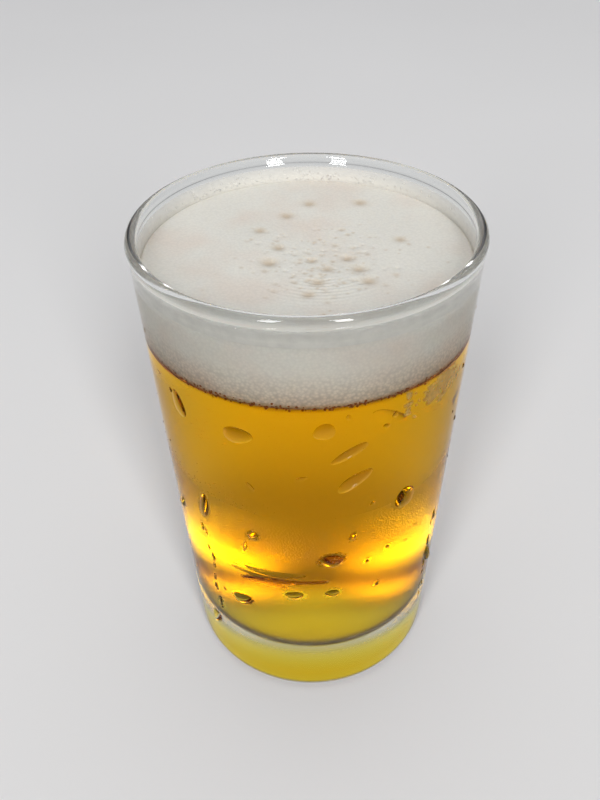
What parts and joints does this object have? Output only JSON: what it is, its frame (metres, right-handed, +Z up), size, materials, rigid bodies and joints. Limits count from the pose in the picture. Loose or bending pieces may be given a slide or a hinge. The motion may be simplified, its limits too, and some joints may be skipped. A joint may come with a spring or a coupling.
{
  "type": "glass of beer",
  "caption": "Small tapered glass tumbler with a thick base, filled with golden beer under a head of white foam, with drops of condensation outside.",
  "frame": {"origin": "middle of the underside of the glass, at the table", "axes": "+Z up along the axis of the glass, -Y the front that the picture shows"},
  "size_m": [0.065, 0.065, 0.1085],
  "materials": {
    "glass": "clear soda-lime glass, pressed and fire polished, with drops of condensation outside",
    "beer": "clear golden liquid, deeper amber towards the bottom",
    "foam": "fine off-white foam with burst bubbles, grainy where it meets the beer"
  },
  "bodies": {
    "root": {"glass": "glass", "beer": "beer", "foam": "foam"}
  },
  "joints": []
}
